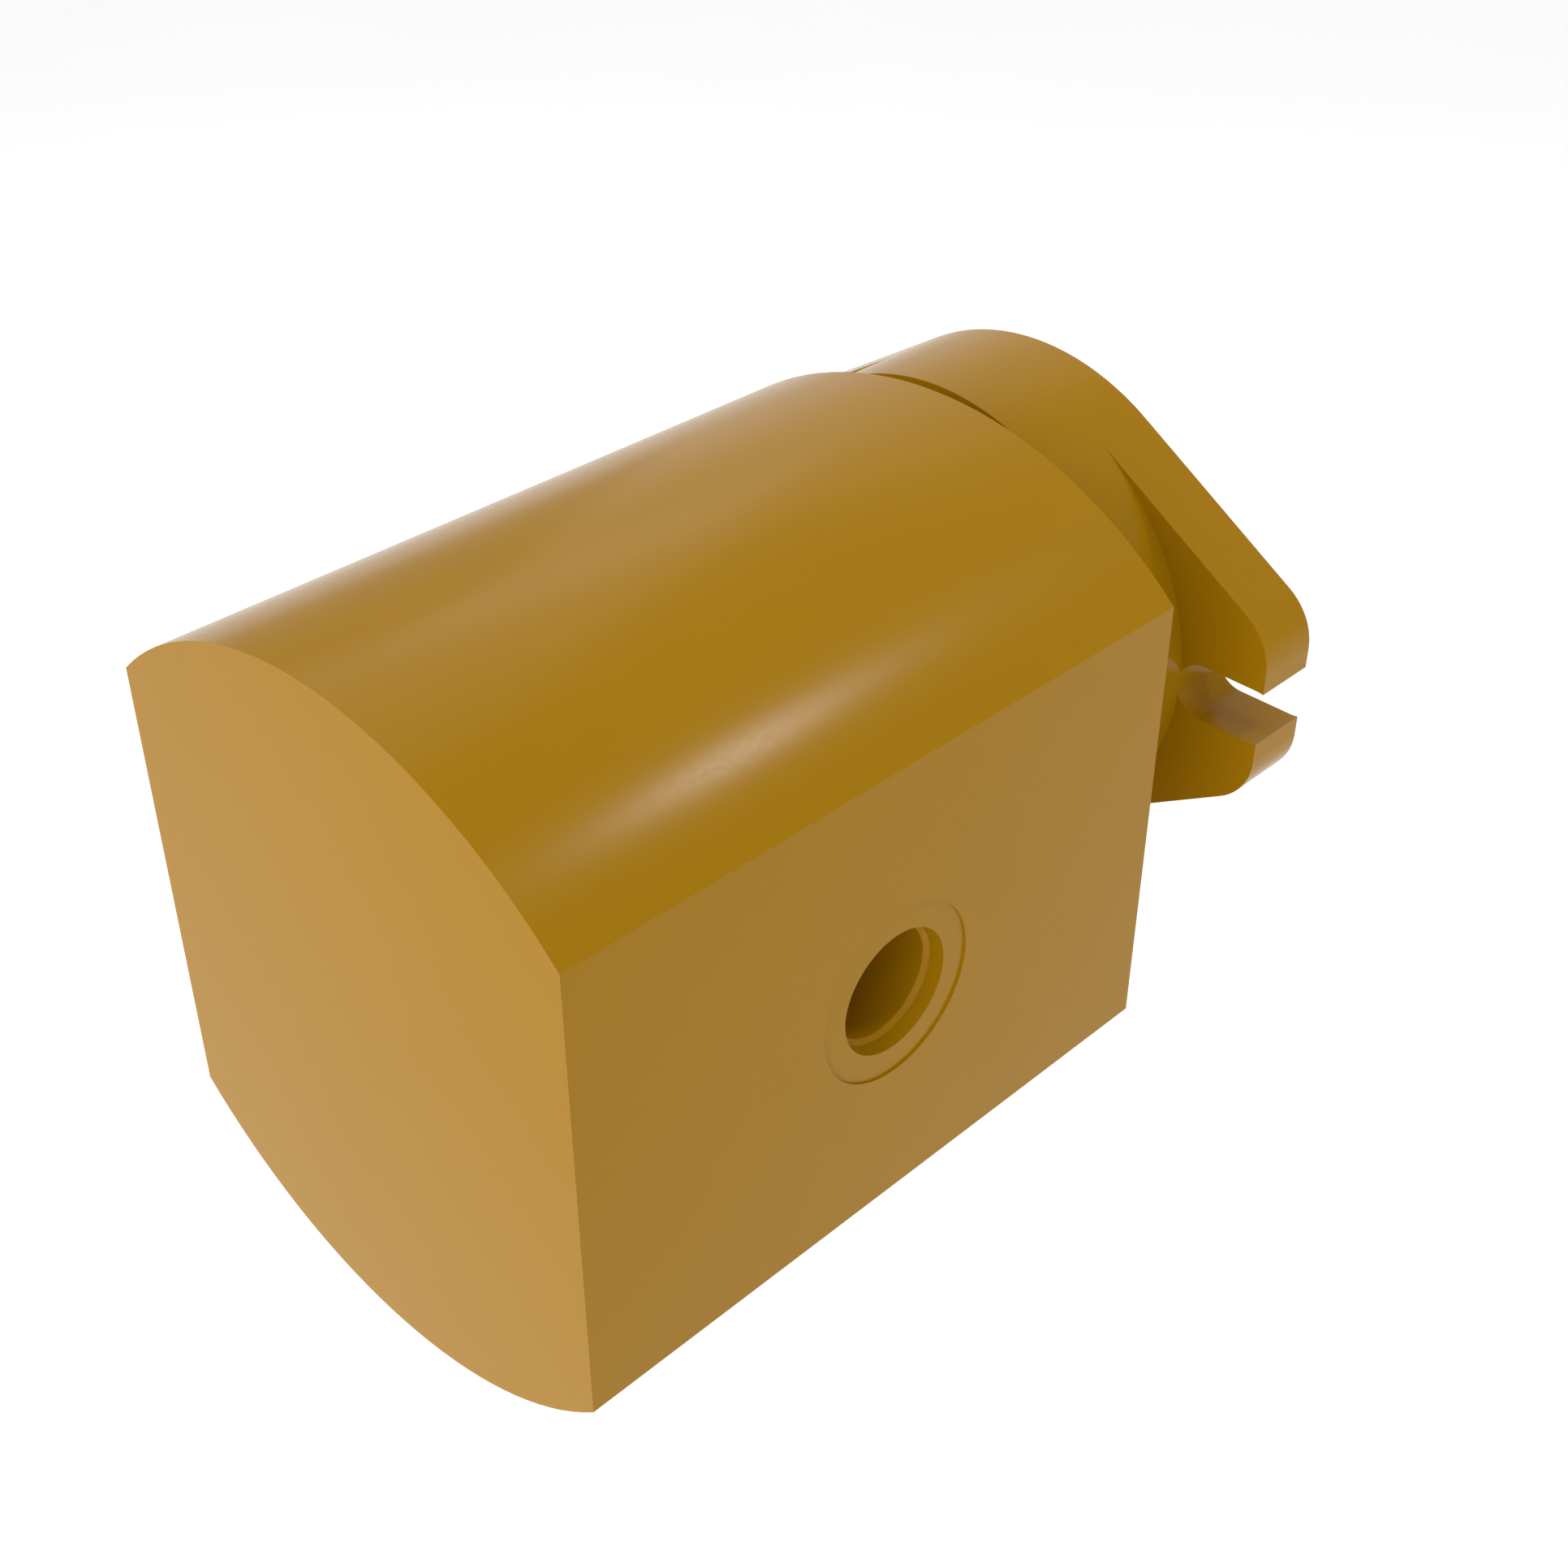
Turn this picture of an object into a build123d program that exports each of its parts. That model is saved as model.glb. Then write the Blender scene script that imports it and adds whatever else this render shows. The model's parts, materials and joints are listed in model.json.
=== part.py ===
from build123d import *
from math import acos, asin, cos, degrees, pi, radians, sin, sqrt, tan
import os

# A hydraulic external gear pump with an SAE A two-bolt flange.
# The frame's origin is the drive shaft's axis on the mounting face. +Y runs out along the shaft, +Z is up.
# Every station along the pump is a depth behind the mounting face, so that depth d lies at y = -d.

# Pump body
body_width = 104.0
body_side_height = 86.0  # height of the flat sides, between the arched top and bottom
body_arc_radius = 76.0
body_length = 130.0
hub_to_body = 14.2  # open gap between the body and the flange's hub

# Mounting flange, SAE J744 size A
pilot_radius = 41.275
pilot_height = 6.35
bolt_spacing = 106.4
slot_width = 11.1
flange_length = 131.6
ear_thickness = 13.3
ear_angle = 31.75  # slope of the ears' sides, degrees
ear_corner_radius = 12.0
hub_radius = 48.2
hub_thickness = 28.3
neck_radius = 40.0
flange_screw_grid = (51.6, 39.0)
flange_screw_radius = 3.0
screw_head_radius = 5.0
screw_seat_gap = 0.5  # around a head in its counterbore
flange_screw_seat = 6.0  # depth of the seats that the screw heads bear on
flange_screw_bite = 6.5  # depth that the screws reach into the front cover
flange_hex = 5.0  # across the flats of the socket in the screw's head

# Front cover
cover_thickness = 8.0
cover_inset = 8.0
cover_bore_gap = 0.6  # around the shaft
cover_screw_radius = 3.0
sunk_head_radius = 5.64
cover_screw_length = 25.0
cover_hex = 4.0
cover_screw_half_width = 37.0
cover_screw_half_height = 37.3
cover_screw_middle = 49.0
dowel_radius = 4.0
dowel_length = 16.0
dowel_inset = 1.0  # from the cover's front face to the dowel
dowel_place = (36.0, 26.0)  # from the body's centre, with a second one opposite

# Gears
gear_teeth = 12
centre_distance = 29.2
gear_line_angle = 147.1  # direction from the driven gear to the drive gear, up from +X
pressure_angle = 25.0
backlash = 0.12
gear_width = 40.0
flank_points = 6
dedendum = 1.25  # depth of a tooth space inside the pitch circle, in modules
tooth_foot = 10.5  # radius, inside the root circle, that each tooth is drawn down to

# Shafts
journal_radius = 10.0
shaft_end_radius = 9.525
shaft_reach = 38.0  # how far the shaft stands out of the mounting face
shaft_chamfer = 1.0
keyway_width = 4.76
keyway_depth = 2.4
keyway_length = 22.0

# Bearing blocks and thrust plates
thrust_plate = 4.0
rear_block_length = 22.0
bush_wall = 2.0
bush_length = 18.0
shaft_relief = 1.0  # around the shafts, beyond the bushes
journal_overhang = 1.5  # how far a journal stands out of its bush
relief_length = 6.0
relief_width = 3.0
relief_depth = 1.2
relief_offset = 6.0  # from the point where the gears' pitch circles meet
block_seal_inset = 2.5
seal_width = 2.0
seal_groove_depth = 1.8

# Ports, cut for an M22 x 1.5 thread drawn at its minor diameter
port_offset = 65.6  # from the blank end face
port_thread_radius = 10.19
port_depth = 17.0
port_mouth_radius = 11.35
port_seal_radius = 10.97
port_seal_depth = 3.0
port_spot_radius = 16.25
port_spot_depth = 0.4
drill_point = 31.0  # slope of the drilled bottom, degrees
gallery_radius = 7.0
gallery_lift = 21.5  # slope of the galleries towards the meeting gears, degrees
gallery_length = 30.0

# Face seals
cover_seal_margin = 2.0  # from the gear chamber to the groove
face_seal_width = 3.0
face_seal_depth = 2.0
seal_side_gap = 0.1
seal_rounding = 0.6
flange_seal_radius = 18.0

# Ball bearing 6204 and its circlips
bearing_front = -1.0
bearing_width = 14.0
bearing_outer_radius = 23.5
ball_pitch_radius = 16.75
ball_radius = 3.92
ball_count = 8
outer_land_radius = 19.2
inner_land_radius = 14.2
cage_inner_radius = 15.6
cage_outer_radius = 17.9
cage_width = 9.6
race_rounding = 1.0
ring_bore_gap = 0.01
bore_ring_thickness = 1.75
bore_ring_width = 3.4
bore_ring_groove = 1.25
shaft_ring_thickness = 1.2
shaft_ring_width = 3.0
shaft_ring_groove = 0.5
shaft_ring_land = 2.0  # of full-size shaft in front of the groove
lug_radius = 2.0
lug_hole_radius = 0.8
lug_spread = 4.4

# Lip seal 20 x 36 x 7
lip_seal_radius = 18.0
lip_seal_width = 7.0
seal_to_bearing = 1.0
seal_case_wall = 1.0
lip_thickness = 1.5
lip_root = 1.0
lip_relief = 0.7
spring_radius = 0.7
seal_web_gap = 3.0  # from the shaft to the seal's steel web, and to the shoulder behind it

# Clearances
running_gap = 0.05  # a part that turns in another
axial_gap = 0.05
fit_gap = 0.03  # a part that is pushed into its seat and stays there
screw_gap = 0.3  # a screw's shank in its clearance hole
screw_end_gap = 0.3  # beyond a screw's end in a shallow hole
drill_overrun = 3.0  # beyond a screw's end in a deep hole
ball_gap = 0.05
block_end_gap = 0.2
lead_chamfer = 0.5
cut_margin = 1.0  # how far a cut passes the surface that it opens

# Worked-out sizes
half_width = body_width / 2
half_side = body_side_height / 2
arc_rise = body_arc_radius - sqrt(body_arc_radius**2 - half_width**2)
body_front = hub_thickness + hub_to_body
body_back = body_front + body_length
cover_front = body_front - cover_thickness
port_station = body_back - port_offset

line_x = cos(radians(gear_line_angle))
line_z = sin(radians(gear_line_angle))
driven_x = -centre_distance * line_x
driven_z = -centre_distance * line_z
body_x = driven_x / 2
body_z = driven_z / 2

gear_module = centre_distance / gear_teeth
pitch_radius = centre_distance / 2
tip_radius = pitch_radius + gear_module
root_radius = pitch_radius - dedendum * gear_module
base_radius = pitch_radius * cos(radians(pressure_angle))
chamber_radius = tip_radius + running_gap

gear_front = port_station - gear_width / 2
gear_back = port_station + gear_width / 2
front_plate_front = gear_front - axial_gap - thrust_plate
rear_plate_back = gear_back + axial_gap + thrust_plate
front_block_front = body_front + block_end_gap
rear_block_back = rear_plate_back + rear_block_length
chamber_back = rear_block_back + block_end_gap

bush_bore = journal_radius + running_gap
bush_radius = bush_bore + bush_wall
bearing_back = bearing_front + bearing_width
lip_seal_front = bearing_back + seal_to_bearing
lip_seal_back = lip_seal_front + lip_seal_width
bearing_middle = bearing_front + bearing_width / 2
seal_web_radius = journal_radius + seal_web_gap

screw_head_height = 2 * flange_screw_radius
sunk_head_height = sunk_head_radius - cover_screw_radius
cover_screw_end = cover_front + cover_screw_length
flange_screw_end = cover_front + flange_screw_bite
dowel_front = cover_front + dowel_inset
shaft_axes = [(0, 0), (driven_x, driven_z)]


def across(depth, x=0.0, z=0.0):
    """A plane across the pump at this depth, with its x along +X and its y along +Z."""
    return Plane((x, -depth, z), x_dir=(1, 0, 0), z_dir=(0, -1, 0))


def drill(radius, start, end, x=0.0, z=0.0, mode=Mode.SUBTRACT):
    """A round hole, or with Mode.ADD a round bar, between two depths."""
    with BuildSketch(across(start, x, z)) as circle:
        Circle(radius)
    extrude(circle.sketch, amount=end - start, mode=mode)


def turn(outline, x=0.0, z=0.0, mode=Mode.ADD):
    """Turn a closed outline of (radius, depth) points about the axis through (x, z)."""
    with BuildSketch(Plane((x, 0, z), x_dir=(1, 0, 0), z_dir=(0, 0, 1))) as profile:
        with BuildLine():
            Polyline(*[(radius, -depth) for radius, depth in outline], close=True)
        make_face()
    revolve(profile.sketch, axis=Axis((x, 0, z), (0, 1, 0)), mode=mode)


def washer(inner, outer, start, end, x=0.0, z=0.0, mode=Mode.ADD):
    """A flat ring between two depths."""
    with BuildSketch(across(start, x, z)) as ring:
        Circle(outer)
        Circle(inner, mode=Mode.SUBTRACT)
    extrude(ring.sketch, amount=end - start, mode=mode)


def save(piece, name):
    """Label a finished piece and write it as parts/name.step."""
    piece.part.label = name
    export_step(piece.part, f"parts/{name}.step")


def body_outline(depth, inset=0.0):
    """The body's outline: flat sides under an arched top and over an arched bottom."""
    with BuildSketch(across(depth, body_x, body_z)) as outline:
        with BuildLine():
            Line((half_width, -half_side), (half_width, half_side))
            ThreePointArc((half_width, half_side), (0, half_side + arc_rise), (-half_width, half_side))
            Line((-half_width, half_side), (-half_width, -half_side))
            ThreePointArc((-half_width, -half_side), (0, -half_side - arc_rise), (half_width, -half_side))
        make_face()
        if inset:
            offset(amount=-inset, kind=Kind.INTERSECTION)
    return outline.sketch


def gear_pair_outline(depth, radius):
    """The outline of two circles on the gears' axes."""
    with BuildSketch(across(depth)) as outline:
        with Locations((0, 0), (driven_x, driven_z)):
            Circle(radius)
    return outline.sketch


def loop_band(depth, inset, width):
    """A closed band that runs inside the gear pair's outline."""
    with BuildSketch(across(depth)) as band:
        with Locations((0, 0), (driven_x, driven_z)):
            Circle(chamber_radius - fit_gap)
        offset(amount=-inset)
        offset(amount=-width, mode=Mode.SUBTRACT)
    return band.sketch


def stadium_band(depth, inner, width):
    """A closed band around both gears, straight between two half circles."""
    with BuildSketch(across(depth, body_x, body_z)) as band:
        SlotCenterToCenter(centre_distance, 2 * (inner + width), rotation=gear_line_angle)
        SlotCenterToCenter(centre_distance, 2 * inner, rotation=gear_line_angle, mode=Mode.SUBTRACT)
    return band.sketch


# Screw and dowel places, from the drive shaft's axis
cover_screws_at = [
    (body_x + x, body_z + z)
    for x, z in [
        (cover_screw_half_width, cover_screw_half_height),
        (0, cover_screw_middle),
        (-cover_screw_half_width, cover_screw_half_height),
        (-cover_screw_half_width, -cover_screw_half_height),
        (0, -cover_screw_middle),
        (cover_screw_half_width, -cover_screw_half_height),
    ]
]
dowels_at = [(body_x + side * dowel_place[0], body_z + side * dowel_place[1]) for side in (1, -1)]
flange_screws_at = [
    (side * flange_screw_grid[0] / 2, level * flange_screw_grid[1] / 2)
    for side in (1, -1)
    for level in (1, -1)
]

os.makedirs("parts", exist_ok=True)


# Pump body: blind bores for the gears and their bearing blocks, and a port on each flat side
with BuildPart() as pump_body:
    extrude(body_outline(body_front), amount=body_length)
    extrude(
        gear_pair_outline(body_front, chamber_radius),
        amount=chamber_back - body_front,
        mode=Mode.SUBTRACT,
    )
    extrude(
        stadium_band(body_front, chamber_radius + cover_seal_margin, face_seal_width),
        amount=face_seal_depth,
        mode=Mode.SUBTRACT,
    )
    for side in (1, -1):
        port_x = body_x + side * half_width
        with BuildSketch(Plane((port_x, -port_station, body_z), x_dir=(0, 1, 0), z_dir=(-side, 0, 0))):
            Circle(port_spot_radius)
        extrude(amount=port_spot_depth, mode=Mode.SUBTRACT)
        with BuildSketch(Plane((port_x, -port_station, body_z), x_dir=(-side, 0, 0), z_dir=(0, 0, side))):
            with BuildLine():
                Polyline(
                    (0, 0),
                    (0, port_mouth_radius),
                    (port_spot_depth, port_mouth_radius),
                    (port_seal_depth, port_seal_radius),
                    (port_seal_depth + port_seal_radius - port_thread_radius, port_thread_radius),
                    (port_depth, port_thread_radius),
                    (port_depth + port_thread_radius * tan(radians(drill_point)), 0),
                    close=True,
                )
            make_face()
        revolve(axis=Axis((port_x, -port_station, body_z), (1, 0, 0)), mode=Mode.SUBTRACT)
        lift = radians(gallery_lift)
        gallery = Plane(
            (port_x - side * port_depth, -port_station, body_z),
            x_dir=(0, 1, 0),
            z_dir=(-side * cos(lift), 0, side * sin(lift)),
        )
        with BuildSketch(gallery):
            Circle(gallery_radius)
        extrude(amount=gallery_length, mode=Mode.SUBTRACT)
    for x, z in cover_screws_at:
        drill(cover_screw_radius + fit_gap, body_front, cover_screw_end + drill_overrun, x, z)
    for x, z in dowels_at:
        drill(dowel_radius + fit_gap, body_front, dowel_front + dowel_length, x, z)
save(pump_body, "pump_body")

# Front cover: closes the body, and carries the flange
with BuildPart() as front_cover:
    extrude(body_outline(cover_front, cover_inset), amount=cover_thickness)
    drill(journal_radius + cover_bore_gap, cover_front, body_front)
    sink_radius = sunk_head_radius + fit_gap
    sink_cone = [(0, cover_front), (sink_radius, cover_front), (0, cover_front + sink_radius)]
    for x, z in cover_screws_at:
        drill(cover_screw_radius + screw_gap, cover_front, body_front, x, z)
        turn(sink_cone, x, z, mode=Mode.SUBTRACT)
    for x, z in dowels_at:
        drill(dowel_radius + fit_gap, dowel_front, body_front, x, z)
    for x, z in flange_screws_at:
        drill(flange_screw_radius + fit_gap, cover_front, flange_screw_end + screw_end_gap, x, z)
save(front_cover, "front_cover")

# Mounting flange: pilot, hub and two ears with open slots, on a neck that seats on the cover
with BuildPart() as mounting_flange:
    slope = radians(ear_angle)
    side_x = hub_radius * sin(slope)
    side_z = hub_radius * cos(slope)
    end_x = flange_length / 2
    end_z = side_z - (end_x - side_x) * tan(slope)
    right_ear = [(side_x, side_z), (end_x, end_z), (end_x, -end_z), (side_x, -side_z)]
    left_ear = [(-x, -z) for x, z in right_ear]
    with BuildSketch(across(0)) as ears:
        Polygon(*right_ear, *left_ear, align=None)
        corners = ears.vertices().group_by(Axis.X)
        fillet(corners[0] + corners[-1], ear_corner_radius)
    extrude(ears.sketch, amount=ear_thickness)
    for side in (1, -1):
        slot_end = bolt_spacing / 2 + slot_width
        with BuildSketch(across(0, side * (bolt_spacing / 2 + slot_end) / 2)) as slot:
            SlotCenterToCenter(slot_end - bolt_spacing / 2, slot_width)
        extrude(slot.sketch, amount=ear_thickness, mode=Mode.SUBTRACT)
    drill(hub_radius, 0, hub_thickness, mode=Mode.ADD)
    drill(neck_radius, hub_thickness, cover_front, mode=Mode.ADD)
    drill(pilot_radius, -pilot_height, 0, mode=Mode.ADD)
    chamfer(mounting_flange.edges().group_by(Axis.Y)[-1], lead_chamfer)
    drill(bearing_outer_radius + fit_gap, -pilot_height, bearing_back)
    groove_front = bearing_front - bore_ring_thickness - axial_gap
    drill(bearing_outer_radius + bore_ring_groove, groove_front, bearing_front)
    drill(lip_seal_radius + fit_gap, bearing_back, lip_seal_back)
    drill(seal_web_radius, lip_seal_back, cover_front)
    washer(
        flange_seal_radius,
        flange_seal_radius + face_seal_width,
        cover_front - face_seal_depth,
        cover_front,
        mode=Mode.SUBTRACT,
    )
    for x, z in flange_screws_at:
        drill(flange_screw_radius + screw_gap, flange_screw_seat, cover_front, x, z)
        drill(screw_head_radius + screw_seat_gap, -pilot_height, flange_screw_seat, x, z)
save(mounting_flange, "mounting_flange")

# Screws and dowels
with BuildPart() as cover_screws:
    for x, z in cover_screws_at:
        turn(
            [
                (0, cover_front),
                (sunk_head_radius, cover_front),
                (cover_screw_radius, cover_front + sunk_head_height),
                (cover_screw_radius, cover_screw_end - lead_chamfer),
                (cover_screw_radius - lead_chamfer, cover_screw_end),
                (0, cover_screw_end),
            ],
            x,
            z,
        )
        with BuildSketch(across(cover_front, x, z)):
            RegularPolygon(cover_hex / 2, 6, major_radius=False)
        extrude(amount=sunk_head_height, mode=Mode.SUBTRACT)
save(cover_screws, "cover_screws")

with BuildPart() as flange_screws:
    head_top = flange_screw_seat - screw_head_height
    for x, z in flange_screws_at:
        turn(
            [
                (0, head_top),
                (screw_head_radius - lead_chamfer, head_top),
                (screw_head_radius, head_top + lead_chamfer),
                (screw_head_radius, flange_screw_seat),
                (flange_screw_radius, flange_screw_seat),
                (flange_screw_radius, flange_screw_end - lead_chamfer),
                (flange_screw_radius - lead_chamfer, flange_screw_end),
                (0, flange_screw_end),
            ],
            x,
            z,
        )
        with BuildSketch(across(head_top, x, z)):
            RegularPolygon(flange_hex / 2, 6, major_radius=False)
        extrude(amount=screw_head_height / 2, mode=Mode.SUBTRACT)
save(flange_screws, "flange_screws")

with BuildPart() as dowel_pins:
    for x, z in dowels_at:
        turn(
            [
                (0, dowel_front),
                (dowel_radius - lead_chamfer, dowel_front),
                (dowel_radius, dowel_front + lead_chamfer),
                (dowel_radius, dowel_front + dowel_length - lead_chamfer),
                (dowel_radius - lead_chamfer, dowel_front + dowel_length),
                (0, dowel_front + dowel_length),
            ],
            x,
            z,
        )
save(dowel_pins, "dowel_pins")

# Face seals, squeezed flat between their groove and the face that closes it
with BuildPart() as cover_seal:
    inner = chamber_radius + cover_seal_margin + seal_side_gap
    extrude(stadium_band(body_front, inner, face_seal_width - 2 * seal_side_gap), amount=face_seal_depth)
    fillet(cover_seal.edges(), seal_rounding)
save(cover_seal, "cover_seal")

with BuildPart() as flange_seal:
    washer(
        flange_seal_radius + seal_side_gap,
        flange_seal_radius + face_seal_width - seal_side_gap,
        cover_front - face_seal_depth,
        cover_front,
    )
    fillet(flange_seal.edges().filter_by(GeomType.CIRCLE), seal_rounding)
save(flange_seal, "flange_seal")

# Bearing blocks, with the seal that bounds the pressure behind each of them
block_ends = {
    "front": (front_block_front, front_plate_front, front_block_front, body_front, 1),
    "rear": (rear_plate_back, rear_block_back, rear_block_back, chamber_back, -1),
}
for place, (start, end, outer_face, closing_face, inward) in block_ends.items():
    bush_start = end - bush_length if place == "front" else start
    with BuildPart() as bearing_block:
        extrude(gear_pair_outline(start, chamber_radius - fit_gap), amount=end - start)
        for x, z in shaft_axes:
            drill(journal_radius + shaft_relief, start, end, x, z)
            drill(bush_radius + fit_gap, bush_start, bush_start + bush_length, x, z)
        groove_floor = outer_face + inward * seal_groove_depth
        extrude(
            loop_band(outer_face, block_seal_inset, seal_width),
            amount=groove_floor - outer_face,
            mode=Mode.SUBTRACT,
        )
    save(bearing_block, f"{place}_bearing_block")
    with BuildPart() as block_seal:
        band = loop_band(closing_face, block_seal_inset + seal_side_gap, seal_width - 2 * seal_side_gap)
        extrude(band, amount=groove_floor - closing_face)
    save(block_seal, f"{place}_block_seal")
    for (x, z), owner in zip(shaft_axes, ("drive", "driven")):
        with BuildPart() as bush:
            washer(bush_bore, bush_radius, bush_start, bush_start + bush_length, x, z)
        save(bush, f"{place}_{owner}_bush")

# Thrust plates, with two pockets on the gears' side that relieve the oil trapped between the teeth
pocket_x = -line_z * relief_offset
pocket_z = line_x * relief_offset
for place, start, pocket_start in (
    ("front", front_plate_front, gear_front - axial_gap - relief_depth),
    ("rear", gear_back + axial_gap, gear_back + axial_gap),
):
    with BuildPart() as plate:
        extrude(gear_pair_outline(start, chamber_radius - fit_gap), amount=thrust_plate)
        for x, z in shaft_axes:
            drill(bush_bore + running_gap, start, start + thrust_plate, x, z)
        with BuildSketch(across(pocket_start, body_x, body_z)):
            with Locations((pocket_x, pocket_z), (-pocket_x, -pocket_z)):
                Rectangle(relief_length, relief_width, rotation=gear_line_angle)
        extrude(amount=relief_depth, mode=Mode.SUBTRACT)
    save(plate, f"{place}_thrust_plate")


def tooth_half_angle(radius):
    """Half of the angle that a tooth spans at this radius, in radians."""
    pressure = radians(pressure_angle)
    roll = acos(min(1.0, base_radius / radius))
    thickness = pi * gear_module / 2 - backlash / 2
    return thickness / (2 * pitch_radius) + tan(pressure) - pressure - tan(roll) + roll


def gear_outline(depth, x, z, first_tooth):
    """A spur gear's outline, with involute flanks and its first tooth at this angle."""
    span = tip_radius - base_radius
    radii = [base_radius + span * step / (flank_points - 1) for step in range(flank_points)]
    flank = [(r * cos(tooth_half_angle(r)), r * sin(tooth_half_angle(r))) for r in radii]
    foot_x = flank[0][0] * tooth_foot / base_radius
    foot_z = flank[0][1] * tooth_foot / base_radius
    with BuildSketch() as tooth:
        with BuildLine():
            upper = Spline(*flank)
            lower = Spline(*[(u, -v) for u, v in flank])
            ThreePointArc(upper @ 1, (tip_radius, 0), lower @ 1)
            Polyline(upper @ 0, (foot_x, foot_z), (foot_x, -foot_z), lower @ 0)
        make_face()
    with BuildSketch(across(depth, x, z)) as outline:
        Circle(root_radius)
        with PolarLocations(0, gear_teeth, start_angle=first_tooth):
            add(tooth.sketch_local)
    return outline.sketch


# Gear shafts: each gear is one piece with its shaft, and a tooth of one stands in a space of the other
with BuildPart() as drive_gear_shaft:
    rear_end = rear_plate_back + bush_length + journal_overhang
    end_step = bearing_front - shaft_ring_thickness - shaft_ring_land
    extrude(gear_outline(gear_front, 0, 0, gear_line_angle + 180), amount=gear_width)
    turn(
        [
            (0, rear_end),
            (journal_radius - shaft_chamfer, rear_end),
            (journal_radius, rear_end - shaft_chamfer),
            (journal_radius, end_step),
            (shaft_end_radius, end_step),
            (shaft_end_radius, shaft_chamfer - shaft_reach),
            (shaft_end_radius - shaft_chamfer, -shaft_reach),
            (0, -shaft_reach),
        ]
    )
    washer(
        journal_radius - shaft_ring_groove,
        journal_radius + cut_margin,
        bearing_front - shaft_ring_thickness - axial_gap,
        bearing_front,
        mode=Mode.SUBTRACT,
    )
    with BuildSketch(across(-shaft_reach)) as keyway:
        with Locations((0, shaft_end_radius - keyway_depth)):
            Rectangle(keyway_width, 2 * keyway_depth, align=(Align.CENTER, Align.MIN))
    extrude(keyway.sketch, amount=keyway_length, mode=Mode.SUBTRACT)
save(drive_gear_shaft, "drive_gear_shaft")

with BuildPart() as driven_gear_shaft:
    front_end = front_plate_front - bush_length - journal_overhang
    first_tooth = gear_line_angle + 180 / gear_teeth
    extrude(gear_outline(gear_front, driven_x, driven_z, first_tooth), amount=gear_width)
    turn(
        [
            (0, rear_end),
            (journal_radius - shaft_chamfer, rear_end),
            (journal_radius, rear_end - shaft_chamfer),
            (journal_radius, front_end + shaft_chamfer),
            (journal_radius - shaft_chamfer, front_end),
            (0, front_end),
        ],
        driven_x,
        driven_z,
    )
save(driven_gear_shaft, "driven_gear_shaft")


def cut_race():
    """Cut the groove that the balls run in."""
    with BuildSketch(Plane.XY) as race:
        with Locations((ball_pitch_radius, -bearing_middle)):
            Circle(ball_radius + ball_gap)
    revolve(race.sketch, axis=Axis.Y, mode=Mode.SUBTRACT)


# Ball bearing
balls_at = [
    (
        ball_pitch_radius * cos(2 * pi * ball / ball_count),
        -bearing_middle,
        ball_pitch_radius * sin(2 * pi * ball / ball_count),
    )
    for ball in range(ball_count)
]
with BuildPart() as bearing_outer_ring:
    washer(outer_land_radius, bearing_outer_radius, bearing_front, bearing_back)
    outer_edges = bearing_outer_ring.edges().filter_by(GeomType.CIRCLE).group_by(SortBy.RADIUS)[-1]
    fillet(outer_edges, race_rounding)
    cut_race()
save(bearing_outer_ring, "bearing_outer_ring")

with BuildPart() as bearing_inner_ring:
    washer(journal_radius + ring_bore_gap, inner_land_radius, bearing_front, bearing_back)
    inner_edges = bearing_inner_ring.edges().filter_by(GeomType.CIRCLE).group_by(SortBy.RADIUS)[0]
    fillet(inner_edges, race_rounding)
    cut_race()
save(bearing_inner_ring, "bearing_inner_ring")

with BuildPart() as bearing_balls:
    with Locations(balls_at):
        Sphere(ball_radius)
save(bearing_balls, "bearing_balls")

with BuildPart() as bearing_cage:
    cage_front = bearing_middle - cage_width / 2
    washer(cage_inner_radius, cage_outer_radius, cage_front, cage_front + cage_width)
    for x, y, z in balls_at:
        with BuildSketch(Plane((0, y, 0), x_dir=(0, 1, 0), z_dir=(x, 0, z))):
            Circle(ball_radius + ball_gap)
        extrude(amount=cage_outer_radius + cut_margin, mode=Mode.SUBTRACT)
save(bearing_cage, "bearing_cage")


def circlip_outline(depth, inner, outer, lug_ring):
    """An open ring with a holed lug at each end, its gap upwards."""
    lug_angle = degrees(asin(lug_spread / lug_ring))
    gap_angle = radians(lug_angle / 2)
    reach = outer + 2 * lug_radius
    gap_x = reach * sin(gap_angle)
    gap_z = reach * cos(gap_angle)
    with BuildSketch(across(depth)) as ring:
        Circle(outer)
        Circle(inner, mode=Mode.SUBTRACT)
        with PolarLocations(lug_ring, 2, start_angle=90 - lug_angle, angular_range=4 * lug_angle):
            Circle(lug_radius)
            Circle(lug_hole_radius, mode=Mode.SUBTRACT)
        Polygon((0, 0), (gap_x, gap_z), (-gap_x, gap_z), align=None, mode=Mode.SUBTRACT)
    return ring.sketch


# Circlips: one holds the bearing in the flange, the other holds the shaft in the bearing
with BuildPart() as bearing_circlip:
    clip_outer = bearing_outer_radius + bore_ring_groove - axial_gap
    clip_inner = clip_outer - bore_ring_width
    clip_start = bearing_front - bore_ring_thickness
    extrude(circlip_outline(clip_start, clip_inner, clip_outer, clip_inner), amount=bore_ring_thickness)
save(bearing_circlip, "bearing_circlip")

with BuildPart() as shaft_circlip:
    clip_inner = journal_radius - shaft_ring_groove + axial_gap
    clip_outer = clip_inner + shaft_ring_width
    clip_start = bearing_front - shaft_ring_thickness
    extrude(circlip_outline(clip_start, clip_inner, clip_outer, clip_outer), amount=shaft_ring_thickness)
save(shaft_circlip, "shaft_circlip")

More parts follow.
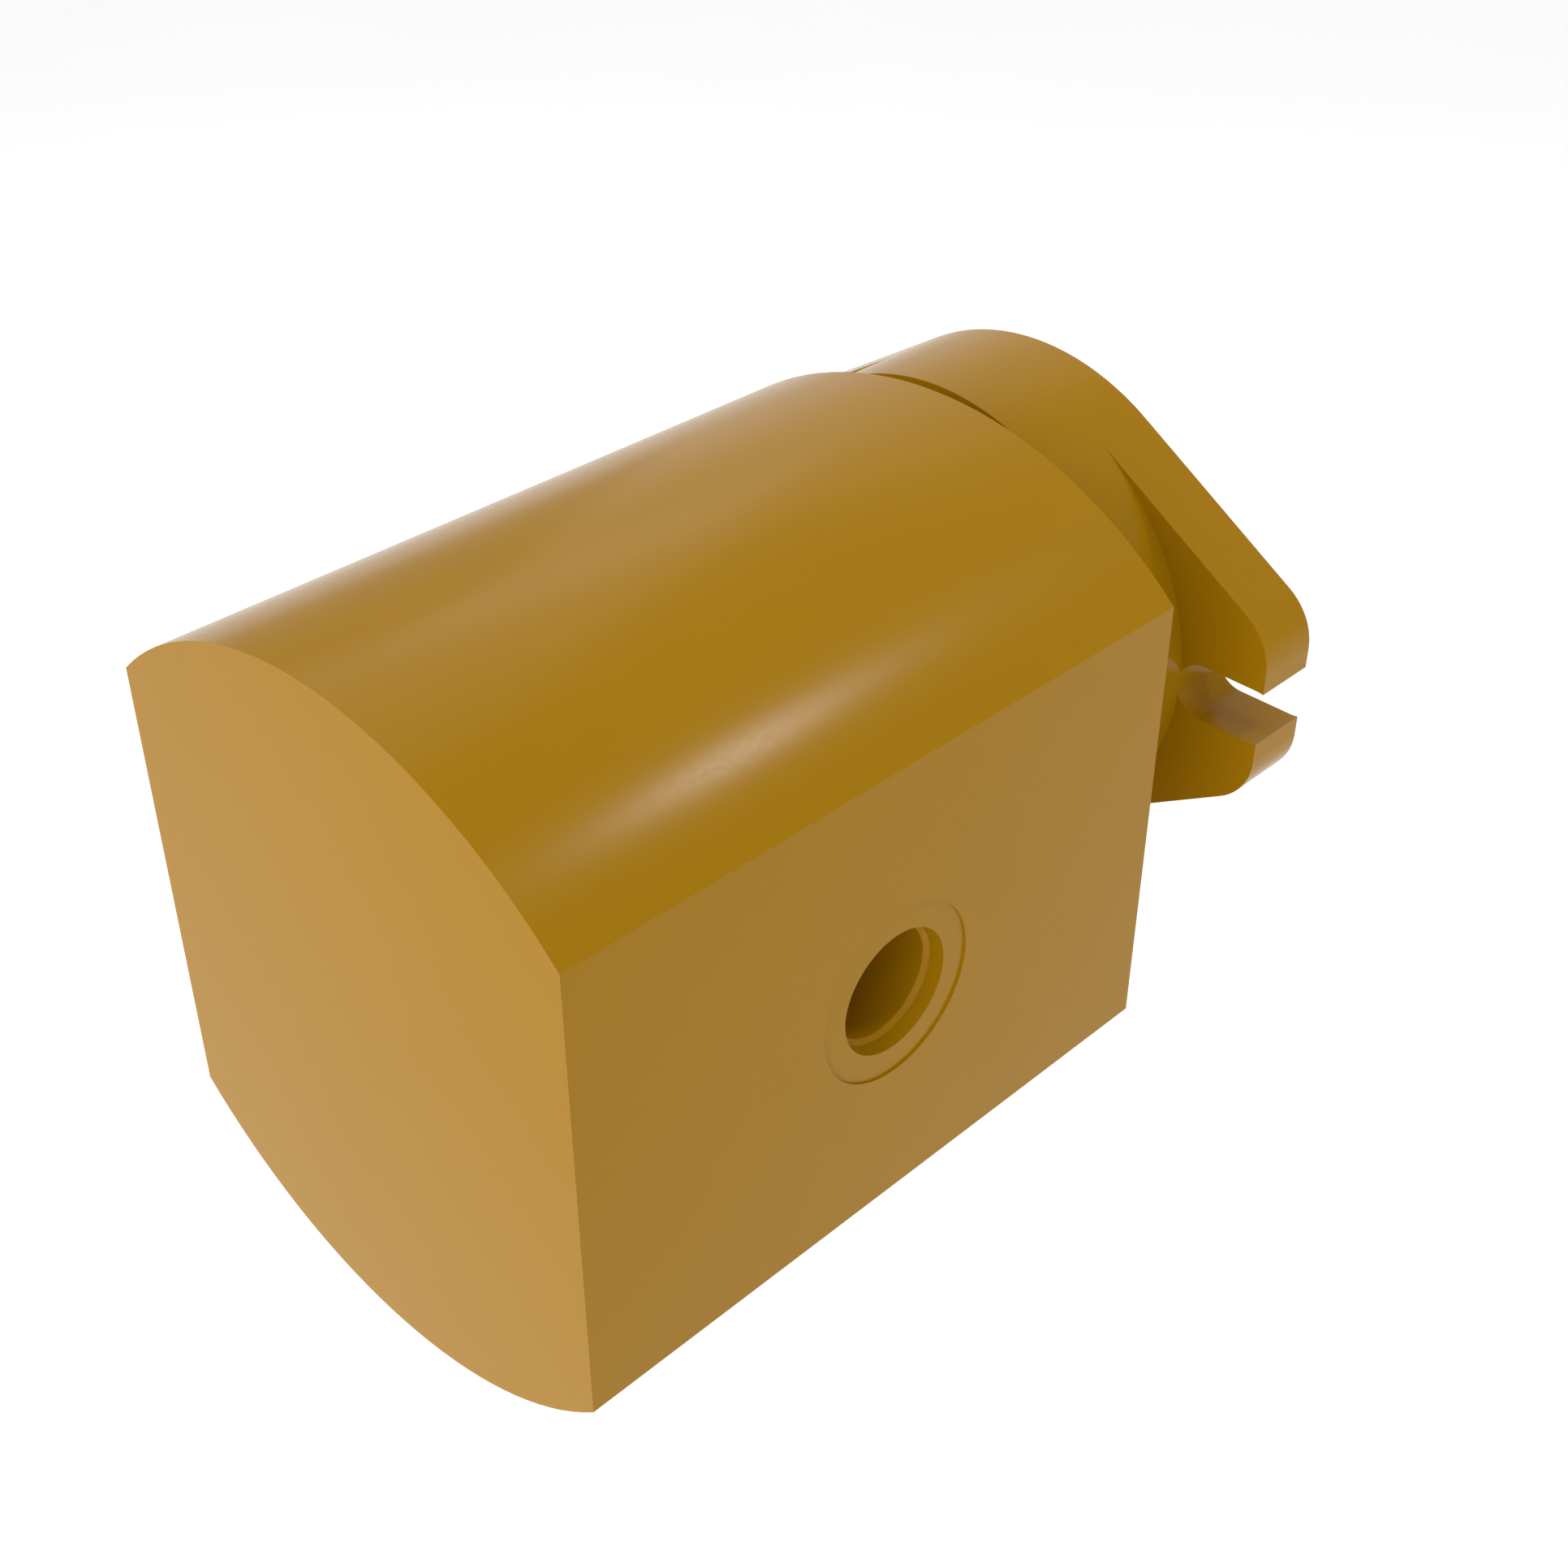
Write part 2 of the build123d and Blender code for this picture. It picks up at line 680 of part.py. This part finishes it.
# Lip seal: a steel case, the rubber lip in it, and the spring that closes the lip on the shaft
case_inside = lip_seal_radius - seal_case_wall
case_web = lip_seal_front + seal_case_wall
lip_outside = journal_radius + lip_thickness
with BuildPart() as seal_case:
    turn(
        [
            (seal_web_radius, lip_seal_front),
            (lip_seal_radius, lip_seal_front),
            (lip_seal_radius, lip_seal_back),
            (case_inside, lip_seal_back),
            (case_inside, case_web),
            (seal_web_radius, case_web),
        ]
    )
save(seal_case, "seal_case")

with BuildPart() as shaft_seal:
    turn(
        [
            (seal_web_radius - fit_gap, lip_seal_front),
            (seal_web_radius - fit_gap, case_web),
            (case_inside - fit_gap, case_web),
            (case_inside - fit_gap, case_web + lip_root),
            (lip_outside + lip_root, case_web + lip_root),
            (lip_outside, case_web + 2 * lip_root),
            (lip_outside, lip_seal_back - lead_chamfer),
            (bush_bore, lip_seal_back - 2 * lip_root),
            (journal_radius + lip_relief, case_web + lip_root),
            (journal_radius + lip_relief, lip_seal_front),
        ]
    )
save(shaft_seal, "shaft_seal")

with BuildPart() as seal_spring:
    with BuildSketch(Plane.XY):
        with Locations((lip_outside + spring_radius + fit_gap, -(lip_seal_back - lip_root))):
            Circle(spring_radius)
    revolve(axis=Axis.Y)
save(seal_spring, "seal_spring")
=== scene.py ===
import json
import math

import bmesh
import bpy
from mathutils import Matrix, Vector


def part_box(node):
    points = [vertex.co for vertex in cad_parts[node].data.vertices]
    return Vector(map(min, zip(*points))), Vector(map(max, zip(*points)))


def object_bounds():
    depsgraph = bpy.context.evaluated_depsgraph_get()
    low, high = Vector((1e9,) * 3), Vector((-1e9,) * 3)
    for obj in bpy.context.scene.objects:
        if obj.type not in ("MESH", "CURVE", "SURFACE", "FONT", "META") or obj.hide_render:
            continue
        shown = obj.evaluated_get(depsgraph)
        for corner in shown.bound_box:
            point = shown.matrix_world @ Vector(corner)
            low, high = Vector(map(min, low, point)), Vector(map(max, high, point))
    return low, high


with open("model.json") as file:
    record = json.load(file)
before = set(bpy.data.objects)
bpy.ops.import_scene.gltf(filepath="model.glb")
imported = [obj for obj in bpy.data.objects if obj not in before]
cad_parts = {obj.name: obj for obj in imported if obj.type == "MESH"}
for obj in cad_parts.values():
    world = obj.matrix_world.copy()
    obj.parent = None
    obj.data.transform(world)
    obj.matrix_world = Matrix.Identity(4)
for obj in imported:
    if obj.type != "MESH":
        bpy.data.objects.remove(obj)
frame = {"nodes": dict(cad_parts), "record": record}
cad_low, cad_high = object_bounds()

# The camera's place, in half widths of the pump body from the middle of its blank end face, and its aim
CAMERA_OFFSET = Vector((4.2872, -2.5074, 4.2984))
CAMERA_AIM = Vector((-1, 1, -1))
LENS = 50  # millimetres, as is the sensor's width
SENSOR = 36
NEAREST = 0.01  # the nearest and farthest things that are drawn, in metres
FARTHEST = 50

# The floor, with its drop below the object's lowest point, its width and its patches in metres
FLOOR_DROP = 0.35
FLOOR_SIZE = 30.0
FLOOR_PATCH = 0.4
FLOOR_LOW = (0.93, 0.93, 0.93)
FLOOR_HIGH = (0.95, 0.95, 0.95)
FLOOR_ROUGHNESS = 0.9
FLOOR_GLOW = 0.13

# How large the surfaces' detail is, in metres
GRAIN = 0.00045
MOTTLE = 0.004
DRIFT = 0.05
SKIN = 0.0009
SKIN_DEPTH = 2.5e-6
RUBBER_DEPTH = 1e-5
TURNING_PITCH = 0.00035

# Noise, and the middle part of its range, which is spread over a whole blend
NOISE_ROUGHNESS = 0.55
NOISE_LOW = 0.3
NOISE_HIGH = 0.7
RING_WANDER = 0.6  # how much turning marks stray from true rings
RING_DETAIL = 2.0

GOLD_LOW = (0.355, 0.1755, 0.0012)
GOLD_HIGH = (0.364, 0.1805, 0.0018)
BLOOM = 1.7  # how much lighter a rubber's bloom is
WHITE = (1, 1, 1, 1)

body_low, body_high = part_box("pump_body")
body_middle = (body_low + body_high) / 2
half_width = (body_high.x - body_low.x) / 2
blank_end = Vector((body_middle.x, body_low.y, body_middle.z))


def make_camera():
    """The photograph's view: down the body's diagonal, from above its blank end."""
    data = bpy.data.cameras.new("camera")
    data.lens = LENS
    data.sensor_width = SENSOR
    data.clip_start = NEAREST
    data.clip_end = FARTHEST
    camera = bpy.data.objects.new("camera", data)
    bpy.context.collection.objects.link(camera)
    camera.location = blank_end + CAMERA_OFFSET * half_width
    camera.rotation_mode = "QUATERNION"
    camera.rotation_quaternion = CAMERA_AIM.to_track_quat("-Z", "Y")
    bpy.context.scene.camera = camera


class Shading:
    """A node tree under construction, with one Principled shader."""

    def __init__(self, name):
        self.material = bpy.data.materials.new(name)
        self.material.use_nodes = True
        self.nodes = self.material.node_tree.nodes
        self.links = self.material.node_tree.links
        self.shader = self.nodes["Principled BSDF"]
        self.place = self.add("ShaderNodeTexCoord").outputs["Object"]

    def add(self, kind, **settings):
        node = self.nodes.new(kind)
        for key, value in settings.items():
            setattr(node, key, value)
        return node

    def link(self, source, target):
        self.links.new(source, target)

    def noise(self, size, detail=3.0):
        """Noise whose features are about this size in metres."""
        mapping = self.add("ShaderNodeMapping")
        mapping.inputs["Scale"].default_value = (1 / size, 1 / size, 1 / size)
        noise = self.add("ShaderNodeTexNoise")
        noise.inputs["Scale"].default_value = 1.0
        noise.inputs["Detail"].default_value = detail
        noise.inputs["Roughness"].default_value = NOISE_ROUGHNESS
        self.link(self.place, mapping.inputs["Vector"])
        self.link(mapping.outputs["Vector"], noise.inputs["Vector"])
        return noise.outputs["Fac"]

    def rings(self, pitch):
        """Fine turning marks, a ring for each pitch along Y."""
        wave = self.add("ShaderNodeTexWave", wave_type="BANDS", bands_direction="Y", wave_profile="SIN")
        # The node's bands run through 20 radians a metre at a scale of one
        wave.inputs["Scale"].default_value = math.pi / (10 * pitch)
        wave.inputs["Distortion"].default_value = RING_WANDER
        wave.inputs["Detail"].default_value = RING_DETAIL
        self.link(self.place, wave.inputs["Vector"])
        return wave.outputs["Fac"]

    def spread(self, factor, low, high):
        """Spread a noise over the numbers from low to high."""
        spread = self.add("ShaderNodeMapRange")
        spread.inputs["From Min"].default_value = NOISE_LOW
        spread.inputs["From Max"].default_value = NOISE_HIGH
        spread.inputs["To Min"].default_value = low
        spread.inputs["To Max"].default_value = high
        self.link(factor, spread.inputs["Value"])
        return spread.outputs["Result"]

    def blend_colour(self, low, high, factor):
        """Let the base colour wander between two colours with a noise."""
        mix = self.add("ShaderNodeMix", data_type="RGBA")
        self.link(self.spread(factor, 0.0, 1.0), mix.inputs["Factor"])
        mix.inputs["A"].default_value = (*low, 1)
        mix.inputs["B"].default_value = (*high, 1)
        self.link(mix.outputs["Result"], self.shader.inputs["Base Color"])

    def blend_roughness(self, low, high, factor):
        """Let the roughness wander between two numbers with a noise."""
        self.link(self.spread(factor, low, high), self.shader.inputs["Roughness"])

    def bump(self, height, depth):
        """Raise the surface by this depth in metres where the height is one, over any earlier bump."""
        bump = self.add("ShaderNodeBump")
        bump.inputs["Strength"].default_value = 1.0
        bump.inputs["Distance"].default_value = depth
        self.link(height, bump.inputs["Height"])
        normal = self.shader.inputs["Normal"]
        if normal.is_linked:
            self.link(normal.links[0].from_socket, bump.inputs["Normal"])
        self.link(bump.outputs["Normal"], normal)


def painted(name, low, high, rough, specular):
    """A smooth finish over a fine cast skin. Its colour and gloss drift a little."""
    shading = Shading(name)
    shading.shader.inputs["Specular IOR Level"].default_value = specular
    skin = shading.noise(SKIN)
    shading.blend_colour(low, high, shading.noise(DRIFT, detail=2.0))
    shading.blend_roughness(*rough, skin)
    shading.bump(skin, SKIN_DEPTH)
    return shading.material


def metal(name, low, high, rough, grain_depth, ring_depth=0.0):
    """A fine-grained metal whose colour and polish drift a little, with turning marks if it was turned."""
    shading = Shading(name)
    shading.shader.inputs["Metallic"].default_value = 1.0
    grain = shading.noise(GRAIN, detail=2.0)
    shading.blend_colour(low, high, shading.noise(MOTTLE, detail=4.0))
    shading.blend_roughness(*rough, grain)
    shading.bump(grain, grain_depth)
    if ring_depth:
        shading.bump(shading.rings(TURNING_PITCH), ring_depth)
    return shading.material


def rubber(name, colour, rough):
    """Matt rubber with a faint bloom."""
    shading = Shading(name)
    lighter = tuple(BLOOM * part for part in colour)
    grain = shading.noise(GRAIN)
    shading.blend_colour(colour, lighter, shading.noise(MOTTLE))
    shading.blend_roughness(*rough, grain)
    shading.bump(grain, RUBBER_DEPTH)
    return shading.material


FINISHES = {
    "gold_casting": painted("gold_finish", GOLD_LOW, GOLD_HIGH, rough=(0.19, 0.22), specular=0.12),
    "screw_steel": metal(
        "black_oxide",
        low=(0.020, 0.020, 0.022),
        high=(0.035, 0.034, 0.035),
        rough=(0.34, 0.46),
        grain_depth=4e-6,
    ),
    "ground_steel": metal(
        "ground_steel",
        low=(0.50, 0.51, 0.52),
        high=(0.58, 0.585, 0.59),
        rough=(0.20, 0.28),
        grain_depth=1e-6,
        ring_depth=2e-6,
    ),
    "bearing_steel": metal(
        "polished_steel",
        low=(0.60, 0.61, 0.63),
        high=(0.66, 0.67, 0.69),
        rough=(0.10, 0.16),
        grain_depth=5e-7,
        ring_depth=1e-6,
    ),
    "cage_brass": metal(
        "cage_brass",
        low=(0.58, 0.38, 0.12),
        high=(0.66, 0.44, 0.15),
        rough=(0.26, 0.36),
        grain_depth=2e-6,
        ring_depth=3e-6,
    ),
    "spring_steel": metal(
        "phosphated_steel",
        low=(0.06, 0.06, 0.065),
        high=(0.09, 0.09, 0.095),
        rough=(0.35, 0.5),
        grain_depth=4e-6,
    ),
    "plated_steel": metal(
        "zinc_plate",
        low=(0.52, 0.53, 0.55),
        high=(0.60, 0.61, 0.62),
        rough=(0.25, 0.38),
        grain_depth=3e-6,
    ),
    "seal_rubber": rubber("nitrile_rubber", colour=(0.012, 0.012, 0.013), rough=(0.55, 0.7)),
    "block_aluminium": metal(
        "milled_aluminium",
        low=(0.62, 0.63, 0.64),
        high=(0.68, 0.69, 0.70),
        rough=(0.28, 0.4),
        grain_depth=2e-6,
        ring_depth=4e-6,
    ),
    "plate_bronze": metal(
        "lapped_bronze",
        low=(0.42, 0.24, 0.09),
        high=(0.50, 0.29, 0.11),
        rough=(0.3, 0.42),
        grain_depth=2e-6,
    ),
    "bush_bronze": metal(
        "sintered_bronze",
        low=(0.34, 0.20, 0.09),
        high=(0.42, 0.25, 0.11),
        rough=(0.42, 0.58),
        grain_depth=8e-6,
    ),
}


def dress(finishes):
    """Give each CAD node the finish of its slot."""
    for entry in frame["record"]["subparts"]:
        piece = frame["nodes"][entry["node"]]
        for slot in piece.material_slots:
            slot.material = finishes[entry["material_slot"]]


def make_floor():
    """A plain pale floor well below the object, wide enough to fill every view, with a faint glow."""
    mesh = bpy.data.meshes.new("floor")
    shape = bmesh.new()
    bmesh.ops.create_grid(shape, x_segments=1, y_segments=1, size=FLOOR_SIZE / 2)
    shape.to_mesh(mesh)
    shape.free()
    floor = bpy.data.objects.new("floor", mesh)
    floor.location.z = cad_low.z - FLOOR_DROP
    bpy.context.collection.objects.link(floor)
    shading = Shading("floor_paint")
    shading.shader.inputs["Roughness"].default_value = FLOOR_ROUGHNESS
    shading.shader.inputs["Specular IOR Level"].default_value = 0.0
    shading.shader.inputs["Emission Color"].default_value = WHITE
    shading.shader.inputs["Emission Strength"].default_value = FLOOR_GLOW
    shading.blend_colour(FLOOR_LOW, FLOOR_HIGH, shading.noise(FLOOR_PATCH))
    mesh.materials.append(shading.material)


def make_light(name, direction, distance, size, power):
    """A soft square lamp that looks at the middle of the body from this direction."""
    data = bpy.data.lights.new(name, "AREA")
    data.size = size
    data.energy = power
    lamp = bpy.data.objects.new(name, data)
    bpy.context.collection.objects.link(lamp)
    outwards = Vector(direction).normalized()
    lamp.location = body_middle + outwards * distance
    lamp.rotation_mode = "QUATERNION"
    lamp.rotation_quaternion = (-outwards).to_track_quat("-Z", "Y")


def make_world(level, front):
    """A soft white surround, brighter towards the front (-Y). The camera itself sees plain white."""
    world = bpy.data.worlds.new("surround")
    world.use_nodes = True
    nodes = world.node_tree.nodes
    links = world.node_tree.links
    direction = nodes.new("ShaderNodeTexCoord")
    facing = nodes.new("ShaderNodeVectorMath")
    facing.operation = "DOT_PRODUCT"
    facing.inputs[1].default_value = (0, -front, 0)
    lit = nodes.new("ShaderNodeMath")
    lit.operation = "MAXIMUM"
    lit.inputs[1].default_value = 0.0
    total = nodes.new("ShaderNodeMath")
    total.operation = "ADD"
    total.inputs[1].default_value = level
    surround = nodes["Background"]
    surround.inputs["Color"].default_value = WHITE
    backdrop = nodes.new("ShaderNodeBackground")
    backdrop.inputs["Color"].default_value = WHITE
    path = nodes.new("ShaderNodeLightPath")
    mix = nodes.new("ShaderNodeMixShader")
    links.new(direction.outputs["Generated"], facing.inputs[0])
    links.new(facing.outputs["Value"], lit.inputs[0])
    links.new(lit.outputs["Value"], total.inputs[0])
    links.new(total.outputs["Value"], surround.inputs["Strength"])
    links.new(path.outputs["Is Camera Ray"], mix.inputs["Fac"])
    links.new(surround.outputs["Background"], mix.inputs[1])
    links.new(backdrop.outputs["Background"], mix.inputs[2])
    links.new(mix.outputs["Shader"], nodes["World Output"].inputs["Surface"])
    bpy.context.scene.world = world


make_camera()
dress(FINISHES)
make_floor()
make_world(level=0.47, front=1.75)
make_light("key", (0.286, 0.538, 0.793), distance=1.544, size=0.13, power=2.55)
make_light("top", (-0.2, 0.0, 1.0), distance=1.5, size=1.0, power=1.0)
make_light("top_left", (-0.6, 0.3, 0.75), distance=1.5, size=1.0, power=2.9)
make_light("shaft_side", (-0.7, 1.0, 0.5), distance=1.4, size=1.0, power=1.5)
bpy.context.scene.view_settings.view_transform = "Standard"
